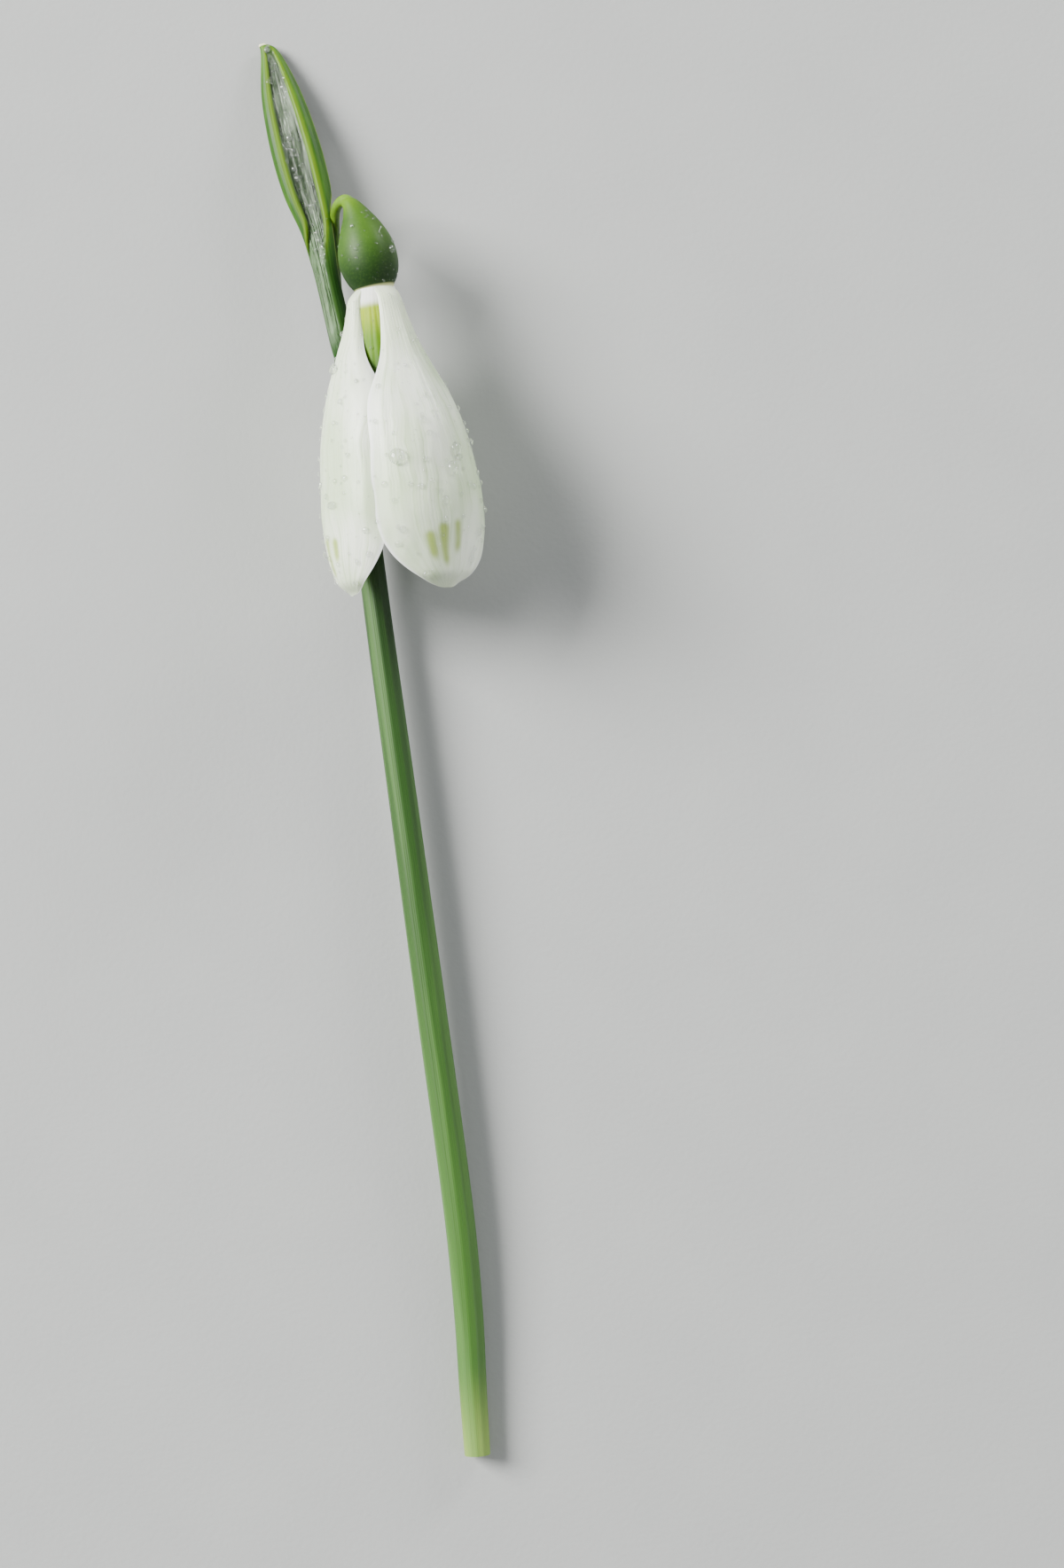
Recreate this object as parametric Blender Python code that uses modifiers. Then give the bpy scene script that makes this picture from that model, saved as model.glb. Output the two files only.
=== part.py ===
"""A picked snowdrop flower, lying on a flat surface with the front of the flower upwards.

+Y runs up the scape from its cut end, +X is to the right and +Z is up. The flower hangs
beside the scape, as it grew: its pedicel arches out of the spathe, and the scape lies in
the cleft between two of the outer tepals. The cut end touches the surface, and the belly of
the back tepal and the tip of the spathe lie within about 0.1 mm of it.
"""

import math

import bpy
from mathutils import Vector

MM = 0.001
GAP = 0.3 * MM  # left between pieces that grow on one another

# The scape, a solid stalk: its centre line as (x, y, z), with its radius at each point.
SCAPE_ROUTE_MM = [(-1.35, 0, 1.2), (-0.95, 6, 1.3), (-0.35, 14, 1.55), (0, 24, 1.9),
                  (0, 42, 2.25), (0, 62, 2.4), (0, 82, 2.4), (0.3, 103, 2.5)]
SCAPE_RADIUS_MM = [1.2, 1.26, 1.32, 1.36, 1.36, 1.3, 1.2, 1.1]

# The pedicel, the thin stalk that carries the flower, from the scape's top to the ovary.
PEDICEL_ROUTE_MM = [(0.3, 103.4, 2.7), (0.2, 105.5, 2.9), (0.2, 108, 2.95), (0.4, 110.6, 2.95),
                    (0.75, 113, 2.95), (1.1, 115.2, 3.1), (1.3, 116.4, 3.8), (1.55, 117.1, 4.8),
                    (2.05, 117.4, 5.9), (2.65, 117.2, 6.7), (3.0, 116.6, 7.0)]
PEDICEL_RADIUS_MM = [0.6, 0.55, 0.5, 0.5, 0.5, 0.5, 0.5, 0.5, 0.52, 0.58, 0.7]

# The spathe, a folded bract: centre line, and half its width and depth at each point.
SPATHE_ROUTE_MM = [(0.25, 103.3, 2.6), (-0.1, 107, 3.0), (-0.4, 111, 3.2), (-0.65, 115, 3.1),
                   (-1.25, 119, 2.8), (-1.85, 123.5, 2.3), (-2.4, 128.5, 1.5), (-3.2, 133.5, 0.55)]
SPATHE_HALF_WIDTH_MM = [1.2, 1.15, 1.15, 1.45, 2.1, 2.2, 1.75, 0.35]
SPATHE_HALF_DEPTH_MM = [1.2, 1.1, 1.1, 1.1, 1.1, 1.05, 0.8, 0.3]
SPATHE_THICKNESS = 0.3 * MM
SPATHE_EDGES_DEG = (58, -188)  # round its section from upwards, positive to the right

# The flower: its parts grow on the receptacle, at the ovary's lower end.
RECEPTACLE = Vector((3.87, 108.7, 7.1)) * MM

# The ovary's profile as (radius, distance up from the receptacle).
OVARY_PROFILE_MM = [(0, 7.35), (0.7, 7.35), (1.25, 6.75), (1.95, 5.7), (2.45, 4.3), (2.66, 2.8),
                    (2.58, 1.5), (2.3, 0.6), (1.85, 0.1), (0, 0.1)]
OVARY_LEAN = math.radians(-5.5)

# The outer tepals. Each row of numbers runs evenly from the claw to the tip.
OUTER_LENGTH = 28.2 * MM
OUTER_THICKNESS = 0.32 * MM
OUTER_HALF_WIDTH_MM = [1.2, 1.7, 2.7, 4.9, 6.4, 7.1, 7.2, 5.8, 0.6]
OUTER_BEND_DEG = [33, 38, 46, 56, 62, 65, 66, 60, 30]
OUTER_TEPALS = {
    # name: azimuth from the front, length, width, bend and the midline's distance from the axis
    "outer_tepal_right": (35, 1.0, 1.0, 1.0, [2.3, 3.3, 4.4, 6.0, 7.1, 7.6, 7.7, 6.9, 5.5]),
    "outer_tepal_left": (-71, 0.99, 0.97, 1.12, [2.3, 3.3, 4.6, 6.0, 6.9, 7.35, 7.6, 7.2, 5.7]),
    "outer_tepal_back": (143, 0.94, 0.92, 1.13, [2.3, 3.3, 4.6, 5.9, 6.8, 7.2, 7.1, 6.3, 4.7]),
}

# The inner tepals, half as long and notched at the tip.
INNER_LENGTH = 13 * MM
INNER_THICKNESS = 0.4 * MM
INNER_NOTCH = 1.6 * MM
INNER_HALF_WIDTH_MM = [0.8, 1.5, 2.5, 3.1, 2.6]
INNER_BEND_DEG = [30, 42, 50, 54, 48]
INNER_REACH_MM = [1.5, 2.1, 2.75, 3.2, 3.4]
INNER_AZIMUTH_DEG = {"inner_tepal_front": -8, "inner_tepal_right": 112, "inner_tepal_left": 232}

# Six stamens stand round the style. Profiles are (radius, distance down from the receptacle).
STAMEN_COUNT = 6
STAMEN_RING_RADIUS = 0.95 * MM
STAMEN_PROFILE_MM = [(0, 0.3), (0.15, 0.3), (0.15, 1.3), (0.34, 1.7), (0.36, 3.2), (0.28, 5.4),
                     (0.06, 7.2), (0, 7.2)]
STYLE_PROFILE_MM = [(0, 0.3), (0.28, 0.3), (0.26, 4), (0.2, 8.6), (0.26, 9), (0.16, 9.3), (0, 9.3)]

ROUND_STEPS = 16
FINE_STEPS = 8
OUTER_GRID = (12, 16)  # faces across and along
INNER_GRID = (8, 8)
SPATHE_GRID = (18, 16)

# Base colour, roughness
WHITE_TISSUE = ((0.86, 0.88, 0.82), 0.45)
GREEN_MARK = ((0.42, 0.58, 0.06), 0.45)
LEAF_GREEN = ((0.10, 0.26, 0.06), 0.45)
OVARY_GREEN = ((0.12, 0.28, 0.03), 0.35)
SPATHE_GREEN = ((0.27, 0.42, 0.16), 0.45)
ANTHER_ORANGE = ((0.85, 0.48, 0.08), 0.6)


def clear_scene():
    for obj in list(bpy.data.objects):
        bpy.data.objects.remove(obj)
    flower = bpy.data.collections.new("snowdrop")
    bpy.context.scene.collection.children.link(flower)
    layer = bpy.context.view_layer.layer_collection.children[flower.name]
    bpy.context.view_layer.active_layer_collection = layer


def finish(obj, name, paint):
    """Names the piece and gives it a material of its own."""
    colour, roughness = paint
    obj.name = name
    material = bpy.data.materials.new(name)
    material.use_nodes = True
    surface = material.node_tree.nodes["Principled BSDF"]
    surface.inputs["Base Color"].default_value = (*colour, 1)
    surface.inputs["Roughness"].default_value = roughness
    surface.inputs["Metallic"].default_value = 0
    obj.data.materials.append(material)
    return obj


def between(stations, share):
    """The value at a share of the way along evenly spaced stations, on a smooth curve."""
    last = len(stations) - 1
    place = min(max(share, 0.0), 1.0) * last
    first = min(int(place), last - 1)
    part = place - first
    a, b = stations[first], stations[first + 1]
    before = stations[first - 1] if first else a - (b - a)
    after = stations[first + 2] if first + 2 <= last else b + (b - a)
    return 0.5 * (2 * a + (b - before) * part
                  + (2 * before - 5 * a + 4 * b - after) * part ** 2
                  + (3 * a - before - 3 * b + after) * part ** 3)


def stalk(name, route, radii, sides, paint):
    """A solid stalk that tapers along a smooth route."""
    curve = bpy.data.curves.new(name, "CURVE")
    curve.dimensions = "3D"
    curve.bevel_depth = MM
    curve.bevel_resolution = sides // 4 - 1
    curve.use_fill_caps = True
    spline = curve.splines.new("POLY")
    count = 3 * len(route) - 2
    spline.points.add(count - 1)
    stations = [Vector(point) * MM for point in route]
    for i, point in enumerate(spline.points):
        share = i / (count - 1)
        point.co = (*between(stations, share), 1)
        point.radius = between(radii, share)
    obj = bpy.data.objects.new(name, curve)
    bpy.context.collection.objects.link(obj)
    return finish(obj, name, paint)


def sheet(name, grid, place, thickness, paint):
    """A curved sheet: place(share along, -1 to 1 across) gives each point of a grid."""
    columns, rows = grid
    bpy.ops.mesh.primitive_grid_add(x_subdivisions=columns, y_subdivisions=rows, size=2)
    obj = bpy.context.object
    for vertex in obj.data.vertices:
        vertex.co = place((vertex.co.y + 1) / 2, vertex.co.x)
    obj.data.shade_smooth()
    wall = obj.modifiers.new("thickness", "SOLIDIFY")
    wall.thickness = thickness
    wall.offset = 0
    return finish(obj, name, paint)


def turned(name, profile, steps, paint):
    """A shape turned about its own Z axis."""
    mesh = bpy.data.meshes.new(name)
    points = [(radius * MM, 0, up * MM) for radius, up in profile]
    mesh.from_pydata(points, [(i, i + 1) for i in range(len(points) - 1)], [])
    obj = bpy.data.objects.new(name, mesh)
    bpy.context.collection.objects.link(obj)
    screw = obj.modifiers.new("turn", "SCREW")
    screw.steps = screw.render_steps = steps
    screw.use_merge_vertices = True
    screw.merge_threshold = 0.01 * MM
    screw.use_smooth_shade = True
    return finish(obj, name, paint)


def tepal(name, azimuth_deg, length, half_widths, bends_deg, reaches, thickness, paint,
          grid, notch=0.0):
    """A petal that hangs down -Z from the receptacle and bends round the flower's axis."""

    def place(along, across):
        bend = math.radians(between(bends_deg, along))
        radius = between(half_widths, along) * MM / bend
        angle = across * bend
        out = between(reaches, along) * MM - radius * (1 - math.cos(angle))
        down = length * along - notch * (1 - abs(across)) ** 2 * along ** 6
        return Vector((radius * math.sin(angle), -out, -down - GAP))

    obj = sheet(name, grid, place, thickness, paint)
    obj.rotation_euler.z = math.radians(azimuth_deg)
    return obj


def spathe():
    route = [Vector(point) * MM for point in SPATHE_ROUTE_MM]
    first, last = (math.radians(edge) for edge in SPATHE_EDGES_DEG)

    def place(along, across):
        angle = first + (last - first) * (across + 1) / 2
        width = between(SPATHE_HALF_WIDTH_MM, along) * MM
        depth = between(SPATHE_HALF_DEPTH_MM, along) * MM
        return between(route, along) + Vector((width * math.sin(angle), 0, depth * math.cos(angle)))

    return sheet("spathe", SPATHE_GRID, place, SPATHE_THICKNESS, SPATHE_GREEN)


def flower(parts):
    """Hangs the parts from the receptacle: their -Z runs to the tips and their -Y faces up."""
    axis = bpy.data.objects.new("flower_axis", None)
    bpy.context.collection.objects.link(axis)
    axis.location = RECEPTACLE
    axis.rotation_euler.x = math.radians(-90)
    for part in parts:
        part.parent = axis
    return axis


def build_flower():
    ovary = turned("ovary", OVARY_PROFILE_MM, ROUND_STEPS, OVARY_GREEN)
    ovary.rotation_euler.y = OVARY_LEAN
    parts = [ovary]
    for name, (azimuth, length, width, bend, reaches) in OUTER_TEPALS.items():
        widths = [width * value for value in OUTER_HALF_WIDTH_MM]
        bends = [bend * value for value in OUTER_BEND_DEG]
        parts.append(tepal(name, azimuth, OUTER_LENGTH * length, widths, bends, reaches,
                           OUTER_THICKNESS, WHITE_TISSUE, OUTER_GRID))
    for name, azimuth in INNER_AZIMUTH_DEG.items():
        parts.append(tepal(name, azimuth, INNER_LENGTH, INNER_HALF_WIDTH_MM, INNER_BEND_DEG,
                           INNER_REACH_MM, INNER_THICKNESS, GREEN_MARK, INNER_GRID, INNER_NOTCH))
    for i in range(STAMEN_COUNT):
        stamen = turned(f"stamen_{i + 1}", [(r, -down) for r, down in STAMEN_PROFILE_MM],
                        FINE_STEPS, ANTHER_ORANGE)
        turn = 2 * math.pi * i / STAMEN_COUNT
        stamen.location = (STAMEN_RING_RADIUS * math.sin(turn), -STAMEN_RING_RADIUS * math.cos(turn), 0)
        parts.append(stamen)
    parts.append(turned("style", [(r, -down) for r, down in STYLE_PROFILE_MM], FINE_STEPS, WHITE_TISSUE))
    return flower(parts)


def rest_on_surface(roots):
    """Moves everything so that the middle of the underside of its box is the origin."""
    bpy.context.view_layer.update()
    graph = bpy.context.evaluated_depsgraph_get()
    corners = []
    for obj in bpy.context.scene.objects:
        if obj.type != "EMPTY":
            mesh = obj.evaluated_get(graph).to_mesh()
            corners += [obj.matrix_world @ vertex.co for vertex in mesh.vertices]
            obj.evaluated_get(graph).to_mesh_clear()
    low = Vector(map(min, zip(*corners)))
    high = Vector(map(max, zip(*corners)))
    middle = Vector(((low.x + high.x) / 2, (low.y + high.y) / 2, low.z))
    for root in roots:
        root.location -= middle


def main():
    clear_scene()
    scape = stalk("scape", SCAPE_ROUTE_MM, SCAPE_RADIUS_MM, 12, LEAF_GREEN)
    pedicel = stalk("pedicel", PEDICEL_ROUTE_MM, PEDICEL_RADIUS_MM, 8, SPATHE_GREEN)
    rest_on_surface([scape, pedicel, spathe(), build_flower()])


main()
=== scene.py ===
"""A picked snowdrop lying on a pale surface, seen from above, with dew on its petals.

+Y runs up the scape, +X is to the right and +Z is up. The scape comes first, then the spathe
and the pedicel that leave its top, then the flower, from its ovary inwards, and then the dew.
"""

import math
import random

import bmesh
import bpy
from mathutils import Matrix, Vector, noise
from mathutils.bvhtree import BVHTree


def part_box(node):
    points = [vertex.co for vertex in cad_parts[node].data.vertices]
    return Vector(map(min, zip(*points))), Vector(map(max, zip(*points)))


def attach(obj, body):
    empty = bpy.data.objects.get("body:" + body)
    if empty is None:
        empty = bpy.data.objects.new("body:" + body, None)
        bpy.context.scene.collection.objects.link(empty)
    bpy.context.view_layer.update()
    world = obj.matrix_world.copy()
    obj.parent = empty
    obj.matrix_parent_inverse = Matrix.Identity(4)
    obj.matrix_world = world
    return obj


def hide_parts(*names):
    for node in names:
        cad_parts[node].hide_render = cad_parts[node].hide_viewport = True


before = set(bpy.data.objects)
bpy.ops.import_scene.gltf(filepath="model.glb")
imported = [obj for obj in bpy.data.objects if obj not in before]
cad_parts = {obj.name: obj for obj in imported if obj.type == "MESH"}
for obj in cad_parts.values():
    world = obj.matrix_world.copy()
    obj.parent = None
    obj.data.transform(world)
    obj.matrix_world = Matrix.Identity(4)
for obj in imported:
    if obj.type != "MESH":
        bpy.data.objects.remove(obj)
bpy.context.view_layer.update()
MM = 0.001

# ---- Camera, floor and light -----------------------------------------------------------
# A lens looks straight down on a pale matt board. One large soft panel stands at the upper
# left, two weaker ones at the right, and the sky is dim and even.

VIEW_CENTRE = Vector((8.7, -5.2, 0)) * MM
VIEW_HEIGHT = 147.4 * MM  # of the board that the frame takes in
VIEW_TURN = math.radians(-7.7)
LENS, FILM = 85, 36
FLOOR_SIZE = 6.0

bpy.ops.object.camera_add(
    location=VIEW_CENTRE + Vector((0, 0, VIEW_HEIGHT * LENS / FILM)), rotation=(0, 0, VIEW_TURN))
camera = bpy.context.object
camera.data.lens = LENS
camera.data.sensor_width = FILM
camera.data.clip_start = 10 * MM
bpy.context.scene.camera = camera


def light(name, place, size, power, colour):
    """A square panel that faces the middle of the flower."""
    middle = Vector((0, 0.03, 0))
    bpy.ops.object.light_add(type="AREA", location=place)
    panel = bpy.context.object
    panel.name = name
    panel.data.size = size
    panel.data.energy = power
    panel.data.color = colour
    panel.rotation_euler = (middle - panel.location).to_track_quat("-Z", "Y").to_euler()


light("main_panel", (-0.9, 0.55, 0.66), 0.6, 54, (1.0, 0.99, 0.97))
light("fill_panel", (1.05, -0.5, 0.75), 0.9, 4.5, (0.97, 0.99, 1.0))
light("rim_panel", (0.75, 0.75, 0.28), 0.3, 9, (1.0, 1.0, 1.0))

sky = bpy.data.worlds.new("studio")
sky.use_nodes = True
sky.node_tree.nodes["Background"].inputs["Color"].default_value = (0.95, 0.98, 1.0, 1)
sky.node_tree.nodes["Background"].inputs["Strength"].default_value = 0.34
bpy.context.scene.world = sky


class Value:
    """A socket that takes part in sums: each operator adds a Math node."""

    def __init__(self, finish, socket):
        self.finish = finish
        self.socket = socket

    def math(self, operation, *others):
        return self.finish.node("Math", {"operation": operation}, dict(enumerate((self, *others))))

    def __add__(self, other):
        return self.math("ADD", other)

    def __sub__(self, other):
        return self.math("SUBTRACT", other)

    def __rsub__(self, other):
        return self.finish.node("Math", {"operation": "SUBTRACT"}, {0: other, 1: self})

    def __mul__(self, other):
        return self.math("MULTIPLY", other)

    __radd__ = __add__
    __rmul__ = __mul__

    def sine(self):
        return self.math("SINE")

    def distance(self, other):
        return (self - other).math("ABSOLUTE")

    def rise(self, low, high):
        """Goes smoothly from 0 at low to 1 at high, or from 1 to 0 where low is the larger."""
        start, end = (0, 1) if low < high else (1, 0)
        return self.finish.node(
            "MapRange", {"interpolation_type": "SMOOTHSTEP"},
            {"Value": self, "From Min": min(low, high), "From Max": max(low, high),
             "To Min": start, "To Max": end})


class Finish:
    """A material in the making: a Principled surface and the nodes that vary it."""

    def __init__(self, name, **constants):
        self.material = bpy.data.materials.new(name)
        self.material.use_nodes = True
        self.tree = self.material.node_tree
        self.surface = self.tree.nodes["Principled BSDF"]
        for socket, value in constants.items():
            self.surface.inputs[socket.replace("_", " ")].default_value = value

    def node(self, kind, settings=None, sockets=None, output=0):
        """Adds any node: its type, its settings, then the values or links of its sockets."""
        node = self.tree.nodes.new("ShaderNode" + kind)
        for name, value in (settings or {}).items():
            setattr(node, name, value)
        for name, value in (sockets or {}).items():
            if isinstance(value, Value):
                self.tree.links.new(value.socket, node.inputs[name])
            else:
                node.inputs[name].default_value = value
        return Value(self, node.outputs[output])

    def uv(self):
        """Across and along, each from 0 to 1, from the piece's UV map."""
        place = self.node("TexCoord", output=2)
        return [self.node("SeparateXYZ", {}, {0: place}, output) for output in (0, 1)]

    def noise(self, scale, detail=2.0, stretch=(1, 1, 1)):
        """Noise on the piece's own metres, from about 0.3 to 0.7, drawn out along an axis."""
        place = self.node("TexCoord", output=3)
        place = self.node("Mapping", {}, {"Vector": place, "Scale": stretch})
        return self.node("TexNoise", {}, {"Vector": place, "Scale": scale, "Detail": detail})

    def blend(self, share, first, second):
        """A colour mixed from two others."""
        return self.node("Mix", {"data_type": "RGBA"}, {0: share, 6: first, 7: second}, 2)

    def feed(self, **inputs):
        for socket, value in inputs.items():
            self.tree.links.new(value.socket, self.surface.inputs[socket.replace("_", " ")])

    def bump(self, height, depth, strength=1.0):
        self.feed(Normal=self.node(
            "Bump", {}, {"Height": height, "Distance": depth, "Strength": strength}))


def rgb(red, green, blue):
    """A colour from the 0 to 255 values of a colour chart."""
    return (*(((part / 255 + 0.055) / 1.055) ** 2.4 for part in (red, green, blue)), 1.0)


def deselect():
    bpy.ops.object.select_all(action="DESELECT")


deselect()
bpy.ops.mesh.primitive_plane_add(size=FLOOR_SIZE, location=VIEW_CENTRE)
floor = bpy.context.object
floor.name = "floor"
board = Finish("board", Roughness=0.85)
board.feed(Base_Color=board.blend(board.noise(90), rgb(168, 170, 169), rgb(175, 177, 175)))
board.bump(board.noise(1800), 0.02 * MM)
floor.data.materials.append(board.material)

# ---- Scape -----------------------------------------------------------------------------
# The leafless flower stalk is one solid, fleshy stem, a little flattened, with fine ribs
# and a waxy skin. It was picked with a straight cut that shows its pale flesh.

scape_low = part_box("scape")[0]
SCAPE_ROUTE = [(-0.02, 0.05, 1.2), (0.38, 6, 1.3), (0.98, 14, 1.55), (1.33, 24, 1.9),
               (1.33, 42, 2.25), (1.33, 62, 2.4), (1.33, 82, 2.4), (1.63, 103.4, 2.5)]
SCAPE_RADIUS = [1.16, 1.24, 1.31, 1.35, 1.35, 1.28, 1.19, 1.1]
SCAPE_CORNER = Vector((scape_low.x + 1.2 * MM, scape_low.y, scape_low.z))
SCAPE_SIDES = 64
SCAPE_RIBS = 12
RIB_HEIGHT = 0.012  # of the radius


def between(stations, share):
    """The value at a share of the way along evenly spaced stations, on a smooth curve."""
    last = len(stations) - 1
    place = min(max(share, 0.0), 1.0) * last
    first = min(int(place), last - 1)
    part = place - first
    a, b = stations[first], stations[first + 1]
    before = stations[first - 1] if first else a - (b - a)
    after = stations[first + 2] if first + 2 <= last else b + (b - a)
    return 0.5 * (2 * a + (b - before) * part
                  + (2 * before - 5 * a + 4 * b - after) * part ** 2
                  + (3 * a - before - 3 * b + after) * part ** 3)


def apply_modifiers(piece):
    deselect()
    piece.select_set(True)
    bpy.context.view_layer.objects.active = piece
    for modifier in list(piece.modifiers):
        bpy.ops.object.modifier_apply(modifier=modifier.name)


def finish_piece(piece, name, finish, slot, *nodes):
    """Names a piece, gives it its finish and puts it in the place of its plain nodes."""
    piece.name = piece.data.name = name
    piece.data.materials.clear()
    piece.data.materials.append(finish.material)
    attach(piece, "root")
    if nodes:
        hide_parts(*nodes)
    return piece


def stalk(corner, route, radii, sides, rings, end_rings, ribs=0, flatness=0.0):
    """A round bar bent along a smooth route in millimetres from a corner, with closed ends.

    The ends are inset by each share of end_rings. A curve bends the bar and sets its girth.
    """
    deselect()
    bpy.ops.mesh.primitive_cylinder_add(
        vertices=sides, radius=MM, depth=1, end_fill_type="NGON", rotation=(0, math.pi / 2, 0))
    bpy.ops.object.transform_apply(rotation=True)
    bar = bpy.context.object
    bpy.ops.object.mode_set(mode="EDIT")
    mesh = bmesh.from_edit_mesh(bar.data)
    bpy.ops.mesh.select_all(action="DESELECT")
    ends = [face for face in mesh.faces if len(face.verts) == sides]
    for share in end_rings:
        for face in ends:
            face.select_set(True)
        bpy.ops.mesh.inset(thickness=share * MM, use_individual=True)
        mesh = bmesh.from_edit_mesh(bar.data)
        ends = [face for face in mesh.faces if len(face.verts) == sides]
    bpy.ops.mesh.select_all(action="DESELECT")
    bpy.ops.mesh.select_mode(type="EDGE")
    for edge in mesh.edges:
        edge.select_set(edge.calc_length() > 0.9)  # the bar's long edges, one metre each
    bpy.ops.mesh.subdivide(number_cuts=rings - 1)
    bpy.ops.object.mode_set(mode="OBJECT")
    for vertex in bar.data.vertices:
        around = math.atan2(vertex.co.z, vertex.co.y)
        rib = 1 + RIB_HEIGHT * math.cos(around * ribs) if ribs else 1
        vertex.co.y *= rib * (1 + flatness)
        vertex.co.z *= rib * (1 - flatness)

    line = bpy.data.curves.new("line", "CURVE")
    line.dimensions = "3D"
    line.twist_mode = "Z_UP"
    line.use_stretch = line.use_deform_bounds = True
    spline = line.splines.new("POLY")
    stations = [Vector(point) * MM for point in route]
    spline.points.add(rings)
    for i, point in enumerate(spline.points):
        point.co = (*(corner + between(stations, i / rings)), 1)
        point.radius = between(radii, i / rings)
    guide = bpy.data.objects.new("line", line)
    bpy.context.scene.collection.objects.link(guide)
    bend = bar.modifiers.new("bend", "CURVE")
    bend.object = guide
    bend.deform_axis = "POS_X"
    apply_modifiers(bar)
    bpy.data.objects.remove(guide)
    bpy.ops.object.shade_smooth_by_angle(angle=math.radians(50))
    return bar


scape = stalk(SCAPE_CORNER, SCAPE_ROUTE, SCAPE_RADIUS, SCAPE_SIDES, 100, (0.05, 0.12, 0.3, 0.3),
              SCAPE_RIBS, 0.03)

scape_skin = Finish("scape_skin", Specular_IOR_Level=0.4, Subsurface_Weight=0.15,
                    Subsurface_Radius=(0.4, 1.0, 0.2), Subsurface_Scale=0.6 * MM,
                    Coat_Weight=0.12, Coat_Roughness=0.3)
scape_around, scape_along = scape_skin.uv()
streaks = scape_skin.noise(900, 4, (1, 0.03, 1))
patches = scape_skin.noise(110, 2, (1, 0.25, 1))
# Painted shadow: the top is painted darker, as the flower's shadow on it; lower down the skin grows
# paler towards the cut.
skin = scape_skin.blend(scape_along.rise(0.94, 0.8), rgb(16, 44, 4), rgb(38, 76, 16))
skin = scape_skin.blend(scape_along.rise(0.8, 0.55), skin, rgb(62, 104, 34))
skin = scape_skin.blend(scape_along.rise(0.545, 0.5), skin, rgb(126, 156, 70))
skin = scape_skin.blend(streaks.rise(0.46, 0.66) * 0.4, skin, rgb(84, 128, 54))
skin = scape_skin.blend(patches.rise(0.5, 0.7) * 0.4, skin, rgb(30, 66, 26))
cut = scape_along.rise(0.5, 0.49)
pith = scape_skin.noise(2600, 3)
flesh = scape_skin.blend(pith.rise(0.5, 0.62), rgb(196, 212, 158), rgb(150, 178, 112))
scape_skin.feed(Base_Color=scape_skin.blend(cut, skin, flesh),
                Roughness=streaks * 0.35 + 0.32)
scape_skin.bump((scape_around * (2 * math.pi * 44)).sine() * 0.3 + streaks, 0.02 * MM, 0.7)
finish_piece(scape, "scape_stalk", scape_skin, "scape_green", "scape")

# ---- Spathe ----------------------------------------------------------------------------
# The bract that sheathed the bud grew as one piece: two thick green keels with pale rims,
# joined by a thin papery skin that has sunk between them. Its lower half wraps the pedicel,
# and its keels meet in a pale hooked tip.

spathe_low, spathe_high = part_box("spathe")
SPATHE_CORNER = Vector((spathe_high.x, spathe_low.y, scape_low.z))
SPATHE_ROUTE = [(-1.02, -0.7, 2.5), (-1.35, 3.4, 3.0), (-1.75, 7.7, 3.2), (-2.0, 11.7, 3.1),
                (-2.6, 15.7, 2.8), (-3.2, 20.2, 2.3), (-3.85, 25.2, 1.5), (-4.42, 29.4, 0.72),
                (-5.1, 30.4, 0.62)]
SPATHE_HALF_WIDTH = [1.11, 1.14, 1.14, 1.5, 2.1, 2.2, 1.75, 0.74, 0.16]
SPATHE_HALF_DEPTH = [1.11, 1.12, 1.1, 1.1, 1.1, 1.05, 0.8, 0.42, 0.06]
SPATHE_COLUMNS, SPATHE_ROWS = 170, 220
SPATHE_WALL = 0.3 * MM
BASE_WALL = 0.25  # of that, where the bract grows out of the scape
BASE_LENGTH = 0.08  # along the spathe, until the wall is whole
SPATHE_RIGHT_EDGE = (58, 88)  # degrees from upwards, low down and in the blade
SPATHE_LEFT_EDGE = -188
BASE_EDGE = 168  # where the right edge nearly meets the left one, round the scape's top
BASE_CLOSED = (0.13, 0.03)  # along the spathe, where it does so
LEFT_KEEL = (-88, -32)  # degrees from upwards, in the blade
RIGHT_KEEL = (26, 88)
RIGHT_MOVE = -28  # degrees that the right keel's inner border moves by low down
LEFT_MOVE = -62  # the same for the left keel's, which runs out there
BLADE = (0.27, 0.42)  # along the spathe, where the left keel begins
OPENING = (0.42, 0.52)  # along the spathe, where its right edge turns from one to the other
SKIN_TOP = (0.91, 0.83)  # along the spathe, where the papery skin ends
SKIN_FOOT = (0.03, 0.11)  # the same, where its pale colour begins
SKIN_SINK = 0.36  # of the depth
SKIN_WALL = 0.25  # of the keels' thickness
SKIN_FOLDS = (0.12, 0.05, 0.06)  # of the depth: its broad folds, short ones and long cords
KEEL_ROUND = 0.16  # of the depth that a keel stands up by
KEEL_CRESTS = [(52, 22), (-60, 20)]  # degrees from upwards to a keel's crest, and its spread
KEEL_RIB, KEEL_RIBS = 0.006, 30  # a fine rib's share of the girth, and how many go round
BORDER_IN, BORDER_HALF = 8, 16  # degrees to the middle of a keel's pale band, and half of it
HEM = 0.03  # of the width round, in which the wall thins to the edge


def smooth(low, high, value):
    """Goes smoothly from 0 at low to 1 at high, or the other way where low is the larger."""
    part = min(max((value - low) / (high - low), 0.0), 1.0)
    return part * part * (3 - 2 * part)


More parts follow.
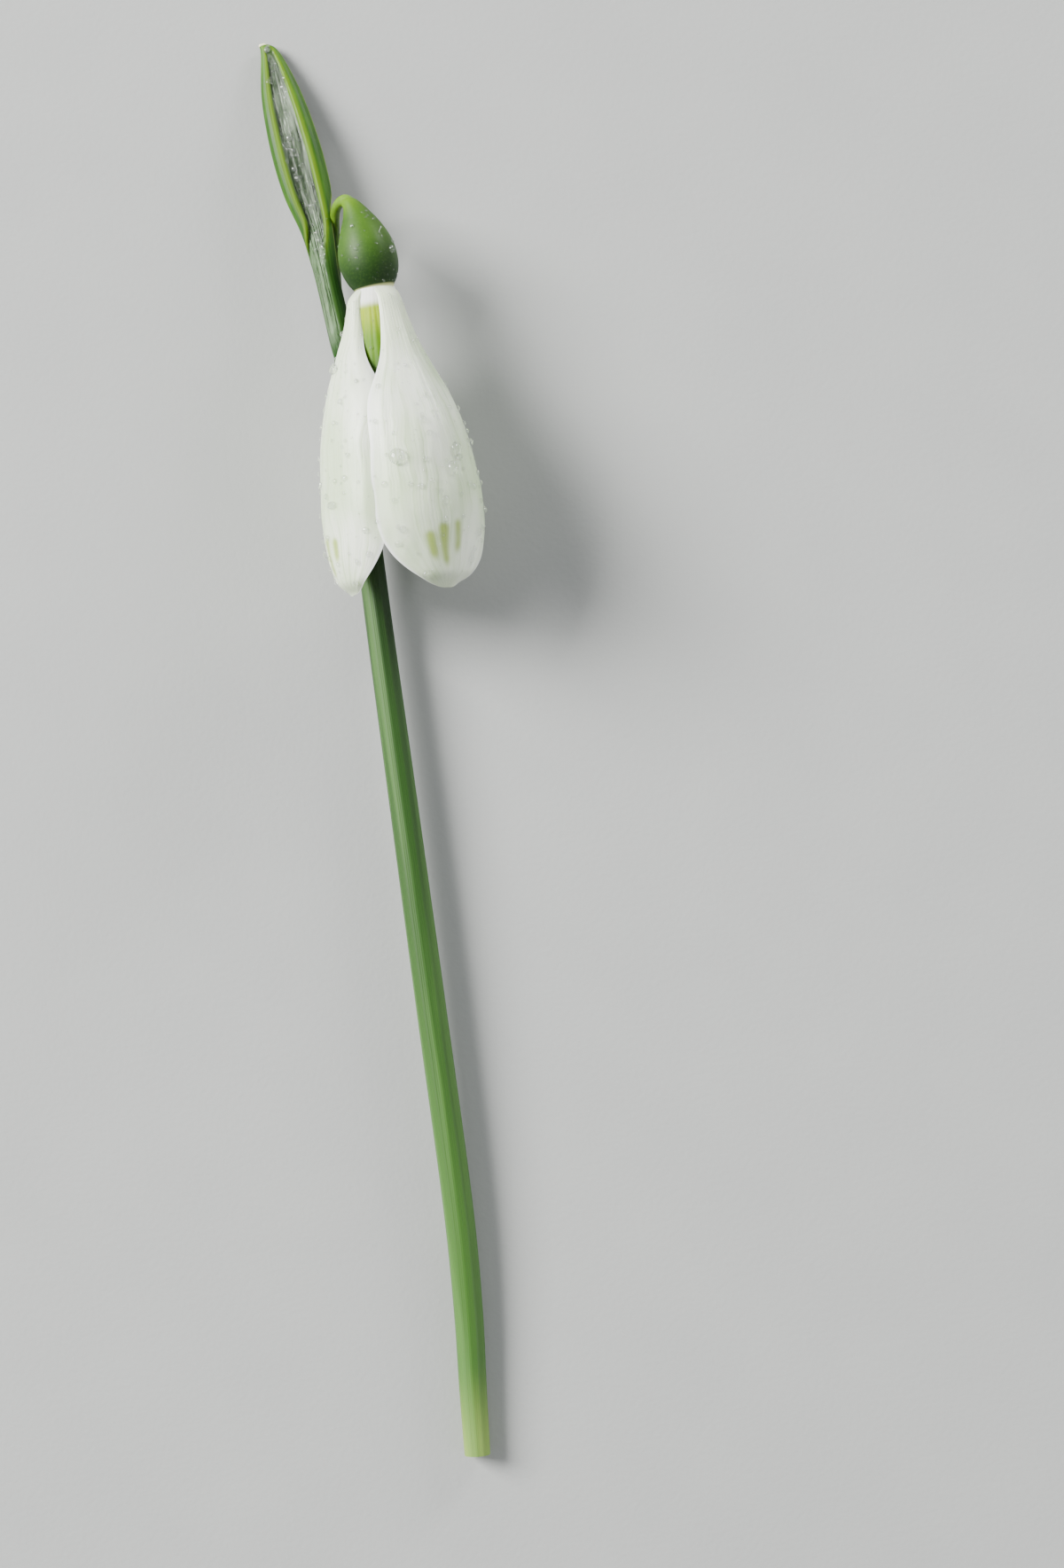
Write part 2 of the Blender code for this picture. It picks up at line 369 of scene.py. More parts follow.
def sheet(columns, rows, place, wall, wall_share):
    """A curved sheet: place(across, along) gives each point, both from 0 to 1.

    wall_share(across, along) is the share of the full thickness that it has there. Where the
    sheet narrows to nothing, its points become one.
    """
    deselect()
    bpy.ops.mesh.primitive_grid_add(x_subdivisions=columns, y_subdivisions=rows, size=1)
    piece = bpy.context.object
    group = piece.vertex_groups.new(name="wall")
    for vertex in piece.data.vertices:
        across, along = vertex.co.x + 0.5, vertex.co.y + 0.5
        group.add([vertex.index], wall_share(across, along), "REPLACE")
        vertex.co = place(across, along)
    bpy.ops.object.mode_set(mode="EDIT")
    bpy.ops.mesh.remove_doubles(threshold=0.001 * MM)
    bpy.ops.object.mode_set(mode="OBJECT")
    thickness = piece.modifiers.new("wall", "SOLIDIFY")
    thickness.thickness = wall
    thickness.offset = 0
    thickness.vertex_group = group.name
    thickness.thickness_vertex_group = 0
    apply_modifiers(piece)
    piece.vertex_groups.clear()
    bpy.ops.object.shade_smooth_by_angle(angle=math.radians(60))
    return piece


def spathe_angle(across, along):
    """Degrees from upwards, from the right edge round over the top to the left one."""
    low, blade = SPATHE_RIGHT_EDGE
    edge = low + (blade - low) * smooth(*OPENING, along)
    edge += (BASE_EDGE - low) * smooth(*BASE_CLOSED, along)
    return edge + (SPATHE_LEFT_EDGE - edge) * across


def skin_share(angle, along):
    """1 on the papery skin and 0 on the keels. Low down the left keel runs out."""
    low = smooth(BLADE[1], BLADE[0], along)
    left = LEFT_KEEL[1] + low * LEFT_MOVE
    right = RIGHT_KEEL[0] + low * RIGHT_MOVE
    middle = smooth(left - 7, left + 7, angle) * smooth(right + 7, right - 7, angle)
    return middle * smooth(*SKIN_TOP, along)


def spathe_place(across, along):
    """A flattened tube along the route, with its skin sunk and its keels rounded."""
    angle = spathe_angle(across, along)
    turn = math.radians(angle)
    skin = skin_share(angle, along)
    width = between(SPATHE_HALF_WIDTH, along) * MM
    depth = between(SPATHE_HALF_DEPTH, along) * MM
    blade = smooth(*BLADE, along)
    ripple = noise.noise(Vector((angle / 11, along * 10, 0)))
    wrinkle = noise.noise(Vector((angle / 5, along * 60, 5)))
    cord = noise.noise(Vector((angle / 3, along * 3, 9)))
    broad, short, long = SKIN_FOLDS
    sink = skin * (SKIN_SINK * blade + broad * ripple + short * wrinkle + long * cord)
    bulge = sum(math.exp(-((angle - crest) / spread) ** 2) for crest, spread in KEEL_CRESTS)
    bulge *= (1 - skin) * blade * KEEL_ROUND
    rib = (1 - skin) * KEEL_RIB * math.cos(turn * KEEL_RIBS)
    middle = SPATHE_CORNER + between([Vector(point) * MM for point in SPATHE_ROUTE], along)
    return middle + Vector((width * math.sin(turn) * (1 + rib), 0,
                            depth * (math.cos(turn) * (1 + rib) - sink + bulge)))


def spathe_wall(across, along):
    """Thin on the papery skin and at the base, and thinnest at the two edges."""
    thin = 1 - (1 - SKIN_WALL) * skin_share(spathe_angle(across, along), along)
    thin *= BASE_WALL + (1 - BASE_WALL) * smooth(0, BASE_LENGTH, along)
    return thin * smooth(0, HEM, min(across, 1 - across) + 0.4 * HEM)


spathe = sheet(SPATHE_COLUMNS, SPATHE_ROWS, spathe_place, SPATHE_WALL, spathe_wall)

spathe_skin = Finish("spathe_skin", Specular_IOR_Level=0.25, Subsurface_Weight=0.2,
                     Subsurface_Radius=(0.5, 1.0, 0.3),
                     Subsurface_Scale=0.4 * MM)
across, along = spathe_skin.uv()
blade = along.rise(*BLADE)
low_edge, blade_edge = SPATHE_RIGHT_EDGE
edge = along.rise(*OPENING) * (blade_edge - low_edge) + low_edge
edge = edge + along.rise(*BASE_CLOSED) * (BASE_EDGE - low_edge)
angle = edge + (SPATHE_LEFT_EDGE - edge) * across
low = 1 - blade
left = low * LEFT_MOVE + LEFT_KEEL[1]
right = low * RIGHT_MOVE + RIGHT_KEEL[0]
waver = spathe_skin.noise(700, 3, (1, 0.25, 1)) * 14 - 7
papery = (angle - left + waver).rise(-4, 5) * (angle - right + waver).rise(4, -5)
papery = papery * along.rise(*SKIN_TOP) * along.rise(*SKIN_FOOT)
border = (angle - left).distance(-BORDER_IN).rise(BORDER_HALF, 0)
border = border + (angle - right).distance(BORDER_IN).rise(BORDER_HALF, 0)
border = border * (blade * 0.8 + 0.2)
rim = (angle - LEFT_KEEL[0]).distance(0).rise(7, 1) * along.rise(0.3, 0.36)
rim = across.rise(0.045, 0.008) + rim
fibre = spathe_skin.noise(1900, 3, (1, 0.05, 1))
blotch_and_glint = spathe_skin.noise(520, 4, (1, 0.45, 1))
strand = spathe_skin.noise(1300, 3, (1, 0.03, 1))
green = spathe_skin.blend(fibre.rise(0.35, 0.7), rgb(36, 78, 4), rgb(58, 102, 12))
# Painted shade: the keels are painted darker low down, where the sheath lies in shade.
green = spathe_skin.blend(along.rise(0.5, 0.2) * 0.8, green, rgb(18, 56, 12))
green = spathe_skin.blend(along.rise(0.7, 0.95) * 0.4, green, rgb(92, 136, 8))
green = spathe_skin.blend(border.rise(0, 1) * 0.6, green, rgb(104, 134, 4))
green = spathe_skin.blend(rim.rise(0, 1) * 0.6, green, rgb(150, 172, 74))
paper = spathe_skin.blend(strand.rise(0.36, 0.62), rgb(66, 80, 60), rgb(124, 138, 118))
# Painted highlights: pale patches of sheen are painted on the papery skin; the same noise also
# thins and roughens it.
paper = spathe_skin.blend(blotch_and_glint.rise(0.5, 0.7) * 0.45, paper, rgb(166, 176, 160))
paper = spathe_skin.blend(along.rise(0.45, 0.32) * 0.5, paper, rgb(104, 138, 90))
colour = spathe_skin.blend(papery, green, paper)
colour = spathe_skin.blend(along.rise(0.955, 0.98) * 0.9, colour, rgb(236, 234, 196))
spathe_skin.feed(Base_Color=colour, Roughness=fibre * 0.3 + 0.36 - papery * 0.14,
                 Alpha=1 - papery * blotch_and_glint.rise(0.58, 0.4) * 0.4)
spathe_skin.bump(fibre * 0.35 + papery * (blotch_and_glint + strand * blade), 0.045 * MM, 0.7)
finish_piece(spathe, "spathe_bract", spathe_skin, "spathe_green", "spathe")

# ---- Pedicel ---------------------------------------------------------------------------
# The thin stalk that carries the flower grew from the top of the scape. It runs up inside
# the spathe, comes out at its right side, arches over and swells into the ovary.

pedicel_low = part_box("pedicel")[0]
PEDICEL_CORNER = Vector((pedicel_low.x + 0.35 * MM, pedicel_low.y, scape_low.z))
PEDICEL_ROUTE = [(0.25, 0, 2.7), (0.15, 2.1, 2.9), (0.15, 4.6, 2.95), (0.3, 7.2, 2.95),
                 (0.55, 9.6, 2.95), (0.8, 11.7, 3.1), (1.0, 12.9, 3.8), (1.35, 13.65, 4.8),
                 (1.9, 13.95, 5.8), (2.4, 13.8, 6.5), (2.85, 13.2, 6.95)]
PEDICEL_RADIUS = [0.62, 0.56, 0.52, 0.48, 0.46, 0.44, 0.43, 0.44, 0.49, 0.56, 0.5]

pedicel = stalk(PEDICEL_CORNER, PEDICEL_ROUTE, PEDICEL_RADIUS, 40, 90, (0.2, 0.4), 8, 0.04)

pedicel_skin = Finish("pedicel_skin", Subsurface_Weight=0.2,
                      Subsurface_Radius=(0.5, 1.0, 0.2), Subsurface_Scale=0.5 * MM,
                      Coat_Weight=0.15, Coat_Roughness=0.25)
around, along = pedicel_skin.uv()
streaks = pedicel_skin.noise(1600, 3, (1, 0.2, 1))
# Painted light and shade: the pedicel is painted dark where it runs inside the spathe and lighter
# where its arch rises into the light.
skin = pedicel_skin.blend(along.rise(0.8, 0.93), rgb(18, 50, 2), rgb(88, 126, 6))
skin = pedicel_skin.blend(streaks.rise(0.45, 0.65) * 0.3, skin, rgb(120, 160, 44))
pedicel_skin.feed(Base_Color=skin, Roughness=streaks * 0.3 + 0.25)
pedicel_skin.bump(streaks, 0.02 * MM, 0.6)
finish_piece(pedicel, "pedicel_stalk", pedicel_skin, "pedicel_green", "pedicel")

# ---- Ovary -----------------------------------------------------------------------------
# The inferior ovary is a smooth green berry above the petals. Its neck bends over into the
# pedicel, a waxy bloom greys its upper side, and its lower end is a narrow, pale collar
# that the petals, stamens and style grow from.

style_low, style_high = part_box("style")
RECEPTACLE = Vector(((style_low.x + style_high.x) / 2, style_high.y + 0.3 * MM,
                     (style_low.z + style_high.z) / 2))
OVARY_ROUTE = [(0.05, -0.75, 0), (0.03, -0.15, 0), (-0.03, 0.7, 0), (-0.1, 1.7, 0),
               (-0.2, 2.8, 0), (-0.3, 3.9, 0), (-0.44, 5.0, 0), (-0.62, 6.1, 0),
               (-0.86, 7.1, -0.03), (-1.2, 7.9, -0.2), (-1.72, 8.4, -0.6)]
OVARY_RADIUS = [1.5, 1.7, 2.24, 2.6, 2.7, 2.58, 2.24, 1.74, 1.2, 0.8, 0.42]

ovary = stalk(RECEPTACLE, OVARY_ROUTE, OVARY_RADIUS, 72, 72, (0.2, 0.3, 0.3), 3, 0.01)

ovary_skin = Finish("ovary_skin", Specular_IOR_Level=0.25, Subsurface_Weight=0.15,
                    Subsurface_Radius=(0.5, 1.0, 0.2), Subsurface_Scale=0.8 * MM,
                    Coat_Roughness=0.3)
around, along = ovary_skin.uv()
length = (along - 0.5) * 2
bloom = ovary_skin.noise(260, 4)
pores = ovary_skin.noise(5200, 1)
# Painted shade darkens the ovary towards the petals, and painted light brightens its neck to match
# the pedicel's lit arch.
skin = ovary_skin.blend(length.rise(0.14, 0.6), rgb(16, 46, 0), rgb(44, 80, 2))
skin = ovary_skin.blend(length.rise(0.76, 0.98), skin, rgb(88, 126, 6))
waxy = bloom.rise(0.34, 0.6) * length.rise(0.3, 0.65) * length.rise(0.95, 0.8)
skin = ovary_skin.blend(waxy * 0.4, skin, rgb(74, 110, 24))
skin = ovary_skin.blend(pores.rise(0.45, 0.75) * 0.07, skin, rgb(104, 146, 44))
ovary_skin.feed(Base_Color=ovary_skin.blend(length.rise(0.1, 0.07), skin, rgb(206, 208, 150)),
                Roughness=bloom * 0.4 + 0.36, Coat_Weight=bloom.rise(0.7, 0.4) * 0.06)
ovary_skin.bump(pores * 0.4 + bloom, 0.03 * MM, 0.5)
finish_piece(ovary, "ovary_berry", ovary_skin, "ovary_green", "ovary")

# ---- Outer petals ----------------------------------------------------------------------
# Three long white petals hang as a bell. Each narrows to a claw on the ovary's collar and
# cups round the flower, with fine veins from claw to tip, a thin clear margin and a small
# point. The right one lies over the left, and all have faint green marks near their tips.

OUTER_LENGTH = 28.4 * MM
OUTER_WALL = 0.28 * MM
OUTER_COLUMNS, OUTER_ROWS = 130, 210
OUTER_HALF_WIDTH = [1.15, 1.7, 2.7, 4.9, 6.4, 7.15, 7.3, 6.8, 5.4]
OUTER_BEND = [38, 40, 46, 56, 62, 65, 66, 62, 55]  # degrees to each side
SHOULDER = 0.05  # of the length, in which the claw rounds over on to the collar
SHOULDER_IN = 1.05 * MM
CLAW_TUCK = 0.12 * MM  # that the claw reaches up past the receptacle
TIP_ROUND = {"right": 0.27, "left": 0.2, "back": 0.24}  # of the length
TIP_CURL = 0.7  # millimetres that the tip turns in by
TIP_ROWS = 1.3  # over 1, the rows of points crowd towards the tip
SWELL = (0.2, 0.05)  # millimetres, broad and small, that the petal strays from an even cup
FOLD = 0.045  # millimetres: the depth of the lengthwise folds
CURL = 0.1  # millimetres that a margin waves by
RAGGED = 0.12  # millimetres that the tip's edge strays by
VEINS = 13
VEIN_RELIEF = 0.01 * MM
OUTER_PETALS = {
    # name: degrees round from the front, length, width, bend, seed, and the middle's distance
    # from the axis, claw to tip
    "right": (35, 1.0, 1.0, 1.0, 3, [2.3, 3.2, 4.4, 6.0, 7.1, 7.5, 7.6, 6.9, 6.1]),
    "left": (-71, 0.983, 0.99, 1.11, 7, [2.3, 3.2, 4.6, 6.0, 6.9, 7.3, 7.55, 7.4, 6.6]),
    "back": (143, 0.94, 0.92, 1.13, 11, [2.3, 3.2, 4.6, 5.9, 6.8, 7.15, 7.05, 6.3, 5.2]),
}
# How a margin spreads below the claw, as a share of the half width, and how many millimetres
# it tucks in by above that: (left, right)
OUTER_SPREAD = {"right": (0.13, 0.0), "left": (0.0, 0.46), "back": (0.0, 0.0)}
OUTER_TUCK = {"right": (0.15, 0.0), "left": (0.0, 0.8), "back": (0.0, 0.0)}
SPREAD_RISE, SPREAD_FALL = (0.06, 0.28), (0.54, 0.36)  # of the length
TUCK_RISE, TUCK_FALL = (0, 0.06), (0.42, 0.1)


def petal_section(half_widths, bends, reaches, share):
    """Radius, centre's offset from the axis and half angle of a petal's cross-section."""
    bend = math.radians(between(bends, share))
    radius = between(half_widths, share) * MM / bend
    return radius, between(reaches, share) * MM - radius, bend


def outer_petal(turn_deg, length, width, bend, seed, reaches, tip_round, spread, tuck):
    """One long petal: a cup round the flower's axis that narrows to a claw and to a tip."""
    half_widths = [value * width for value in OUTER_HALF_WIDTH]
    bends = [value * bend for value in OUTER_BEND]
    middle = math.radians(turn_deg)

    def place(across, along):
        share = 1 - (1 - along) ** TIP_ROWS
        side = across * 2 - 1
        radius, offset, half_angle = petal_section(half_widths, bends, reaches, share)
        offset -= SHOULDER_IN * (1 - min(share / SHOULDER, 1)) ** 2
        tip = min((1 - share) / tip_round, 1)
        narrow = math.sqrt(1 - (1 - tip) ** 2)
        half_angle *= narrow
        wide = abs(side) * spread[side > 0]
        half_angle *= 1 + wide * smooth(*SPREAD_RISE, share) * smooth(*SPREAD_FALL, share)
        inward = tuck[side > 0] * side ** 2 * smooth(*TUCK_RISE, share) * smooth(*TUCK_FALL, share)
        inward += TIP_CURL * smooth(0.93, 1, share) ** 2
        turn = middle + side * half_angle
        flow = Vector((side * narrow * 1.6, share * 3.5, seed))
        swell = SWELL[0] * noise.noise(flow) + SWELL[1] * noise.noise(flow * 3.3)
        swell *= smooth(0, 0.25, share)
        fold = FOLD * math.cos(side * 7 + seed) * smooth(0.05, 0.3, share) * smooth(1, 0.75, share)
        vein = math.cos(side * math.pi * VEINS + noise.noise(flow * 2) * 1.5)
        rib = VEIN_RELIEF * vein * smooth(1, 0.8, abs(side)) * narrow
        curl = noise.noise(Vector((side * 3, share * 8, seed + 20)))
        curl *= CURL * smooth(0.75, 1, abs(side)) * narrow
        out = radius + (swell + fold + curl - inward) * MM + rib
        down = OUTER_LENGTH * length * share - CLAW_TUCK * (1 - share) ** 6
        ragged = RAGGED * noise.noise(Vector((side * narrow * 5, seed, 3))) * smooth(0.9, 1, share)
        return RECEPTACLE + Vector((offset * math.sin(middle) + out * math.sin(turn),
                                    -down + ragged * MM,
                                    offset * math.cos(middle) + out * math.cos(turn)))

    def wall(across, along):
        side = abs(across * 2 - 1)
        return 0.35 + 0.65 * smooth(1, 0.75, side) * smooth(1, 0.9, along)

    return sheet(OUTER_COLUMNS, OUTER_ROWS, place, OUTER_WALL, wall)


def petal_finish(name, marks, strength):
    """White petal tissue. Marks are (across, half width, from, to) along the petal."""
    tissue = Finish(name, Subsurface_Weight=0.35, Subsurface_Radius=(0.9, 1.0, 0.65),
                    Subsurface_Scale=0.6 * MM, Sheen_Weight=0.06, Sheen_Roughness=0.4)
    across, along = tissue.uv()
    side = across.distance(0.5) * 2
    flow = tissue.noise(240, 3)
    grain = tissue.noise(5200, 2, (1, 0.4, 1))
    cloud = tissue.noise(150, 3, (1, 0.5, 1))
    patchy = tissue.noise(420, 3, (1, 0.2, 1))
    lines = (across * (2 * math.pi * VEINS) + flow * 9).sine()
    fine = (across * (2 * math.pi * VEINS * 3.3) + flow * 24).sine()
    veins = lines.rise(0.3, 1) * 0.45 + fine.rise(0.2, 1) * 0.35
    veins = veins * side.rise(1, 0.86) * patchy.rise(0.34, 0.62)
    white = tissue.blend(cloud.rise(0.35, 0.65), rgb(202, 222, 182), rgb(238, 247, 226))
    white = tissue.blend(veins * 0.75, white, rgb(166, 192, 138))
    white = tissue.blend(along.rise(0.26, 0.02) * 0.5, white, rgb(202, 214, 178))
    white = tissue.blend(along.rise(0.84, 1.0) * 0.4, white, rgb(204, 216, 180))
    white = tissue.blend(side.rise(0.93, 0.99) * 0.6, white, rgb(252, 253, 250))
    green = None
    for centre, half, start, end in marks:
        bar = (across.distance(centre) + (flow - 0.5) * 0.03).rise(half, 0)
        bar = bar * along.rise(start, start + 0.04) * along.rise(end, end - 0.06)
        green = bar if green is None else green + bar
    green = (green * (patchy * 1.6 + 0.15)).rise(0.0, 1.0) * strength
    white = tissue.blend(green, white, rgb(146, 170, 16))
    tissue.feed(Base_Color=white, Roughness=0.46 - veins * 0.1 - grain * 0.14)
    tissue.bump(veins * -0.4 + grain * 0.35 + cloud * 1.4 + patchy * 0.5, 0.06 * MM, 0.6)
    return tissue


PETAL_MARKS = {
    "right": [(0.33, 0.07, 0.71, 0.87), (0.435, 0.08, 0.69, 0.9), (0.545, 0.065, 0.68, 0.85)],
    "left": [(0.36, 0.07, 0.7, 0.88), (0.48, 0.08, 0.69, 0.9), (0.59, 0.07, 0.7, 0.84)],
    "back": [(0.39, 0.07, 0.71, 0.86), (0.5, 0.08, 0.7, 0.88), (0.61, 0.07, 0.71, 0.86)],
}
MARK_STRENGTH = {"right": 0.85, "left": 0.8, "back": 0.8}
outer_petals = {}
for name, build in OUTER_PETALS.items():
    finish = petal_finish(f"white_tissue_{name}", PETAL_MARKS[name], MARK_STRENGTH[name])
    petal = outer_petal(*build, TIP_ROUND[name], OUTER_SPREAD[name], OUTER_TUCK[name])
    outer_petals[name] = finish_piece(
        petal, f"petal_{name}", finish, "tepal_white", f"outer_tepal_{name}")

# ---- Inner petals ----------------------------------------------------------------------
# Three short petals form a cup inside the bell. Each is thick and notched at its tip, with
# a white base and margin round a large green mark that darkens towards the notch.

INNER_LENGTH = 13 * MM
INNER_WALL = 0.36 * MM
INNER_HALF_WIDTH = [1.3, 1.9, 2.6, 3.1, 2.6]
INNER_BEND = [52, 54, 54, 54, 48]
INNER_REACH = [1.7, 2.2, 2.75, 3.2, 3.4]
INNER_NOTCH = 1.6 * MM
INNER_RIDGE, INNER_FLARE, INNER_SWELL = 0.02, 0.25, 0.05  # millimetres
INNER_TURN = {"front": -8, "right": 112, "left": 232}
INNER_COLUMNS, INNER_ROWS = 70, 90


def inner_petal(turn_deg, seed):
    """One short petal: a thick cup that flares a little and ends in two lobes."""
    def place(across, along):
        side = across * 2 - 1
        radius, offset, half_angle = petal_section(INNER_HALF_WIDTH, INNER_BEND, INNER_REACH, along)
        turn = math.radians(turn_deg) + side * half_angle
        middle = math.radians(turn_deg)
        ridge = INNER_RIDGE * math.cos(side * math.pi * 8)
        ridge *= smooth(1, 0.7, abs(side)) * smooth(0, 0.2, along)
        flare = INNER_FLARE * smooth(0.8, 1, along)
        swell = INNER_SWELL * noise.noise(Vector((side * 2, along * 4, seed)))
        out = radius + (ridge + flare + swell) * MM
        lobe = 1 - abs(abs(side) - 0.5) * 2
        down = INNER_LENGTH * along - INNER_NOTCH * (1 - lobe ** 0.6) * along ** 6
        return RECEPTACLE + Vector((offset * math.sin(middle) + out * math.sin(turn),
                                    -down - 0.1 * MM,
                                    offset * math.cos(middle) + out * math.cos(turn)))

    def wall(across, along):
        return 0.4 + 0.6 * smooth(1, 0.7, abs(across * 2 - 1)) * smooth(1, 0.9, along)

    return sheet(INNER_COLUMNS, INNER_ROWS, place, INNER_WALL, wall)


inner_tissue = Finish("inner_tissue", Specular_IOR_Level=0.2, Subsurface_Weight=0.25,
                      Subsurface_Radius=(0.7, 1.0, 0.3),
                      Subsurface_Scale=0.6 * MM)
across, along = inner_tissue.uv()
side = across.distance(0.5) * 2
flow = inner_tissue.noise(700, 3)
grain = inner_tissue.noise(5200, 2, (1, 0.4, 1))
ribs = (across * (2 * math.pi * 9) + flow * 3).sine()
mark = along.rise(0.08, 0.15) * along.rise(0.93, 0.82) * side.rise(0.98, 0.86)
green = inner_tissue.blend(along.rise(0.15, 0.4), rgb(146, 168, 0), rgb(84, 124, 0))
green = inner_tissue.blend(along.rise(0.42, 0.66), green, rgb(32, 74, 0))
green = inner_tissue.blend(ribs.rise(0.4, 1) * 0.15, green, rgb(104, 146, 0))
white = inner_tissue.blend(ribs.rise(0.1, 1) * 0.3, rgb(240, 243, 234), rgb(212, 222, 200))
inner_tissue.feed(Base_Color=inner_tissue.blend(mark, white, green), Roughness=0.62 - grain * 0.15)
inner_tissue.bump(ribs * 0.1 + grain * 0.4, 0.03 * MM, 0.5)
inner_petals = {}
for seed, (name, turn_deg) in enumerate(INNER_TURN.items()):
    inner_petals[name] = finish_piece(
        inner_petal(turn_deg, seed), f"inner_petal_{name}", inner_tissue, "inner_tepal",
        f"inner_tepal_{name}")

# ---- Stamens ---------------------------------------------------------------------------
# Six stamens stand in a cone round the style. Each is a short white filament that carries
# an orange anther with faint grooves and a fine point.

STAMEN_RADIUS = [0.13, 0.13, 0.15, 0.32, 0.36, 0.35, 0.31, 0.25, 0.17, 0.07, 0.02]
STAMEN_LENGTH = 7.1 * MM
STAMEN_RING = 0.95 * MM
STAMEN_COUNT = 6
STAMEN_LEAN = 0.1  # of the ring's radius that a stamen leans in by

anther = Finish("anther_and_filament", Subsurface_Weight=0.1, Subsurface_Scale=0.3 * MM)
around, along = anther.uv()
length = (along - 0.5) * 2
pollen = anther.noise(9000, 2)
yellow = anther.blend(pollen.rise(0.42, 0.62), rgb(214, 128, 34), rgb(246, 190, 78))
anther.feed(Base_Color=anther.blend(length.rise(0.2, 0.28), rgb(236, 240, 222), yellow),
            Roughness=pollen * 0.3 + 0.45)
anther.bump(pollen, 0.03 * MM, 0.8)
for i in range(STAMEN_COUNT):
    turn = 2 * math.pi * i / STAMEN_COUNT
    foot = Vector((STAMEN_RING * math.sin(turn), 0, STAMEN_RING * math.cos(turn))) / MM
    lean = [foot * (1 - STAMEN_LEAN * step) + Vector((0, 0.05 - STAMEN_LENGTH / MM * step, 0))
            for step in (0, 0.25, 0.5, 0.75, 1)]
    stamen = stalk(RECEPTACLE, lean, STAMEN_RADIUS, 20, 40, (0.3,), 4, 0.0)
    finish_piece(stamen, f"stamen_with_anther_{i + 1}", anther, "stamen_orange", f"stamen_{i + 1}")

# ---- Style -----------------------------------------------------------------------------
# A single slender style stands out past the anthers and ends in a tiny blunt stigma.

STYLE_ROUTE = [(0, 0.05, 0), (0, -3, 0), (0, -6, 0), (0, -9.3, 0)]
STYLE_RADIUS = [0.3, 0.27, 0.24, 0.21, 0.19, 0.19, 0.25, 0.12]

style = stalk(RECEPTACLE, STYLE_ROUTE, STYLE_RADIUS, 24, 50, (0.3,), 0, 0.0)
style_skin = Finish("style_skin", Roughness=0.4, Subsurface_Weight=0.2, Subsurface_Scale=0.3 * MM)
around, along = style_skin.uv()
speckle = style_skin.noise(5000, 2)
pale = style_skin.blend(along.rise(0.5, 0.7), rgb(206, 220, 160), rgb(232, 238, 212))
pale = style_skin.blend(speckle.rise(0.5, 0.7) * 0.3, pale, rgb(250, 250, 236))
style_skin.feed(Base_Color=pale)
style_skin.bump(speckle, 0.02 * MM, 0.5)
finish_piece(style, "style_and_stigma", style_skin, "style_pale", "style")

# ---- Dew -------------------------------------------------------------------------------
# Clear drops of water stand on the petals, the ovary and the spathe. The large ones lie
# where they ran together, and fine specks cover the rest. Each is a flattened bead that is
# partly sunk, so that no gap shows under it.

BEAD_HEIGHT = 0.62  # of its width
BEAD_SUNK = 0.16  # of its width, from the skin down to its underside
CAST_FROM = 30 * MM  # from the flower's axis or the spathe's middle to where a line starts
LEAST_LARGE = 0.5  # millimetres: narrower specks take the coarser bead

water = Finish("dew_water", IOR=1.333, Transmission_Weight=0.93, Specular_IOR_Level=0.8,
               Coat_Weight=1.0, Coat_Roughness=0.02, Coat_IOR=1.7)
ripple = water.noise(2200)
water.feed(Base_Color=water.blend(ripple, rgb(244, 250, 248), rgb(255, 255, 255)),
           Roughness=ripple * 0.04, Alpha=ripple * 0.2 + 0.4)
water.bump(ripple, 0.004 * MM, 0.5)


def new_bead(name, segments, rings):
    """A round bead one unit wide, flattened in the way that a drop is."""
    deselect()
    bpy.ops.mesh.primitive_uv_sphere_add(segments=segments, ring_count=rings, radius=0.5)
    bpy.ops.object.mode_set(mode="EDIT")
    bpy.ops.transform.resize(value=(1, 1, BEAD_HEIGHT))
    bpy.ops.object.mode_set(mode="OBJECT")
    bpy.ops.object.shade_smooth()
    bead = bpy.context.object
    bead.name = name
    return bead


large_bead, small_bead = new_bead("large_bead", 28, 16), new_bead("small_bead", 8, 6)


def dew(name, host, drops):
    """One piece of water on a host. A drop is (start, direction, width, length, bead).

    Each lies where the line from its start in its direction first meets the host.
    """
    mesh = bmesh.new()
    skin = BVHTree.FromObject(host, bpy.context.evaluated_depsgraph_get())
    for start, direction, width, length, bead in drops:
        place, normal, face, distance = skin.ray_cast(start, direction)
        if place is None:
            continue
        if normal.dot(direction) > 0:
            normal.negate()
        turn = normal.to_track_quat("Z", "Y").to_matrix().to_4x4()
        size = Matrix.Diagonal((width, length, width, 1))
        drop = bead.data.copy()
        drop.transform(Matrix.Translation(place + normal * width * (BEAD_HEIGHT / 2 - BEAD_SUNK)
                                          ) @ turn @ size)
        mesh.from_mesh(drop)
        bpy.data.meshes.remove(drop)
    data = bpy.data.meshes.new(name)
    mesh.to_mesh(data)
    mesh.free()
    data.shade_smooth()
    piece = bpy.data.objects.new(name, data)
    bpy.context.scene.collection.objects.link(piece)
    return finish_piece(piece, name, water, "dew")


def above(across, down, width, length=None):
    """A drop by its place in millimetres from the flower's axis and below its receptacle."""
    start = RECEPTACLE + Vector((across, -down, CAST_FROM / MM)) * MM
    return start, Vector((0, 0, -1)), width * MM, (length or width) * MM, large_bead


def beside(side, up, down, width):
    """A drop on the outline: side is -1 for the left and 1 for the right."""
    start = RECEPTACLE + Vector((side * CAST_FROM / MM, -down, up)) * MM
    return start, Vector((-side, 0, 0)), width * MM, width * MM, large_bead


